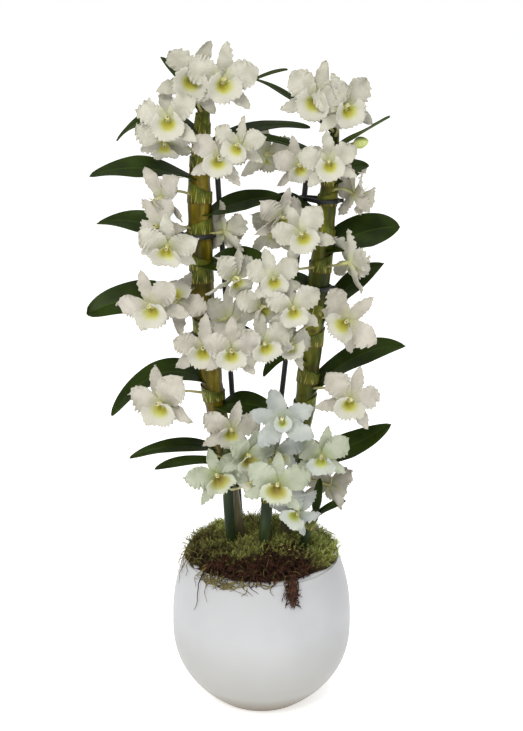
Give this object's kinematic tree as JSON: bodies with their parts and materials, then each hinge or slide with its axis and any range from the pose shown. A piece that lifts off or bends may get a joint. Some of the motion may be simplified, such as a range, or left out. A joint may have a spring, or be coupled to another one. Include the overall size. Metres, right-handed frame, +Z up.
{
  "type": "potted dendrobium orchid",
  "caption": "White dendrobium orchid with tall staked leafy canes full of blooms, in bark and moss in a round white glazed pot.",
  "frame": {"origin": "centre of the pot's flat foot, on the surface it stands on", "axes": "+Z up along the pot's axis, +X to the right as seen from the front, -Y to the front, where the blooms look"},
  "size_m": [0.2649, 0.1637, 0.5659],
  "materials": {
    "glazed_pot": "satin white glaze",
    "bark": "rough bark chips",
    "moss": "matte, fibrous",
    "leafy_cane": "satin leaf",
    "support_plastic": "matte black",
    "petal": "soft petal",
    "bud": "soft petal"
  },
  "bodies": {
    "root": {"pot": "glazed_pot", "bark_mix": "bark", "moss": "moss", "cane_left": "leafy_cane", "cane_right": "leafy_cane", "cane_short_left": "leafy_cane", "cane_short_right": "leafy_cane", "shoot_right": "leafy_cane", "stake_left": "support_plastic", "stake_right": "support_plastic", "clip_left_upper": "support_plastic", "clip_left_lower": "support_plastic", "clip_right_upper": "support_plastic", "clip_right_lower": "support_plastic", "bloom_01": "petal", "bloom_02": "petal", "bloom_03": "petal", "bloom_04": "petal", "bloom_05": "petal", "bloom_06": "petal", "bloom_07": "petal", "bloom_08": "petal", "bloom_09": "petal", "bloom_10": "petal", "bloom_11": "petal", "bloom_12": "petal", "bloom_13": "petal", "bloom_14": "petal", "bloom_15": "petal", "bloom_16": "petal", "bloom_17": "petal", "bloom_18": "petal", "bloom_19": "petal", "bloom_20": "petal", "bloom_21": "petal", "bloom_22": "petal", "bloom_23": "petal", "bloom_24": "petal", "bloom_25": "petal", "bloom_26": "petal", "bloom_27": "petal", "bloom_28": "petal", "bloom_29": "petal", "bloom_30": "petal", "bloom_31": "petal", "bloom_32": "petal", "bloom_33": "petal", "bloom_34": "petal", "bloom_35": "petal", "bloom_36": "petal", "bloom_37": "petal", "bloom_38": "petal", "bloom_39": "petal", "bloom_40": "petal", "bloom_41": "petal", "bloom_42": "petal", "bloom_43": "petal", "bloom_44": "petal", "buds_right": "bud"}
  },
  "joints": []
}
